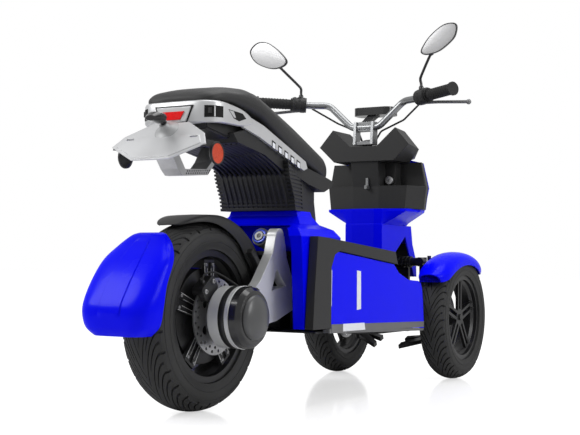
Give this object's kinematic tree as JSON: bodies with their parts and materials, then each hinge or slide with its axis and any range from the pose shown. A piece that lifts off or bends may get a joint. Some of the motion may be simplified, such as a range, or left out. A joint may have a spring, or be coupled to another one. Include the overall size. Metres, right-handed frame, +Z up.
{
  "type": "three-wheeled electric scooter",
  "caption": "Electric scooter with two steered front wheels, a hub-driven rear wheel, a flat footboard, a raised saddle and a wide handlebar.",
  "frame": {"origin": "on the ground, at the middle of the whole length and width", "axes": "+Y forward, +X to the rider's right, +Z up"},
  "size_m": [0.786, 1.72, 1.1],
  "materials": {
    "blue_panel": "high gloss",
    "black_plastic": "fine grain",
    "black_gloss": "gloss",
    "black_metal": "satin black",
    "silver_paint": "satin silver",
    "cast_silver": "as cast",
    "polished": "polished",
    "steel": "ground",
    "tyre": "rubber",
    "grip_rubber": "soft",
    "seat_cover": "matt vinyl",
    "red_lens": "clear red",
    "amber_lens": "prismatic amber",
    "clear_lens": "clear",
    "mirror_glass": "silvered",
    "battery_case": "moulded"
  },
  "bodies": {
    "frame": {"main_frame": "black_metal", "hub_carrier": "cast_silver", "hub_cover": "black_gloss", "rear_brake_caliper": "black_metal", "swingarm": "cast_silver", "hugger": "black_plastic", "rear_mudguard": "blue_panel", "side_panels": "blue_panel", "side_trims": "black_plastic", "sills": "silver_paint", "floor_deck": "black_plastic", "bulkheads": "black_plastic", "battery_pack": "battery_case", "rear_cowl": "blue_panel", "seat_column": "black_plastic", "tail_cowl": "black_plastic", "seat": "seat_cover", "tail_frame": "silver_paint", "seat_trims": "silver_paint", "plate_holder": "silver_paint", "tail_bracket": "steel", "tail_light": "red_lens", "plate_lamp": "black_gloss", "reflectors": "amber_lens", "leg_shield": "blue_panel", "nose_shell": "blue_panel", "fairing_inner": "black_plastic", "dash_cover": "black_plastic", "headlight": "clear_lens", "key_lock": "steel", "bag_hook": "polished", "front_arms": "black_metal", "front_dampers": "black_metal"},
    "rear_wheel": {"rear_tyre": "tyre", "rear_hub_motor": "black_metal", "rear_rim": "black_metal", "rear_brake_disc": "steel"},
    "steering": {"steering_stem": "black_metal", "bar_clamp": "polished", "handlebar": "polished", "grips": "grip_rubber", "switch_housings": "black_plastic", "brake_levers": "cast_silver", "mirrors": "black_gloss", "mirror_glasses": "mirror_glass", "display": "black_gloss", "brake_hoses": "grip_rubber"},
    "tie_rods": {"tie_rods": "black_metal"},
    "upright_left": {"upright_left": "black_metal", "front_caliper_left": "black_metal", "front_fender_left": "blue_panel"},
    "front_wheel_left": {"front_tyre_left": "tyre", "front_rim_left": "black_metal", "front_brake_disc_left": "steel"},
    "upright_right": {"upright_right": "black_metal", "front_caliper_right": "black_metal", "front_fender_right": "blue_panel"},
    "front_wheel_right": {"front_tyre_right": "tyre", "front_rim_right": "black_metal", "front_brake_disc_right": "steel"}
  },
  "joints": [
    {"name": "rear_wheel_spin", "type": "hinge", "parent": "frame", "child": "rear_wheel", "pos_m": [0, -0.525, 0.2365], "axis": [1, 0, 0], "continuous": true},
    {"name": "steering_turn", "type": "hinge", "parent": "frame", "child": "steering", "pos_m": [0, 0.425, 0.8], "axis": [0, -0.342, 0.9397], "range_deg": [-25, 25]},
    {"name": "tie_rods_swing", "type": "hinge", "parent": "steering", "child": "tie_rods", "pos_m": [0, 0.55502, 0.26735], "axis": [0, -0.342, 0.9397], "range_deg": [-25, 25]},
    {"name": "upright_left_turn", "type": "hinge", "parent": "frame", "child": "upright_left", "pos_m": [-0.14, 0.657, 0.2], "axis": [0, -0.342, 0.9397], "range_deg": [-25, 25]},
    {"name": "front_wheel_left_spin", "type": "hinge", "parent": "upright_left", "child": "front_wheel_left", "pos_m": [-0.212, 0.66, 0.2], "axis": [1, 0, 0], "continuous": true},
    {"name": "upright_right_turn", "type": "hinge", "parent": "frame", "child": "upright_right", "pos_m": [0.14, 0.657, 0.2], "axis": [0, -0.342, 0.9397], "range_deg": [-25, 25]},
    {"name": "front_wheel_right_spin", "type": "hinge", "parent": "upright_right", "child": "front_wheel_right", "pos_m": [0.212, 0.66, 0.2], "axis": [1, 0, 0], "continuous": true}
  ],
  "couplings": [
    {"joint": "upright_left_turn", "follows": "steering_turn", "ratio": 1},
    {"joint": "upright_right_turn", "follows": "steering_turn", "ratio": 1},
    {"joint": "tie_rods_swing", "follows": "steering_turn", "ratio": -1}
  ]
}
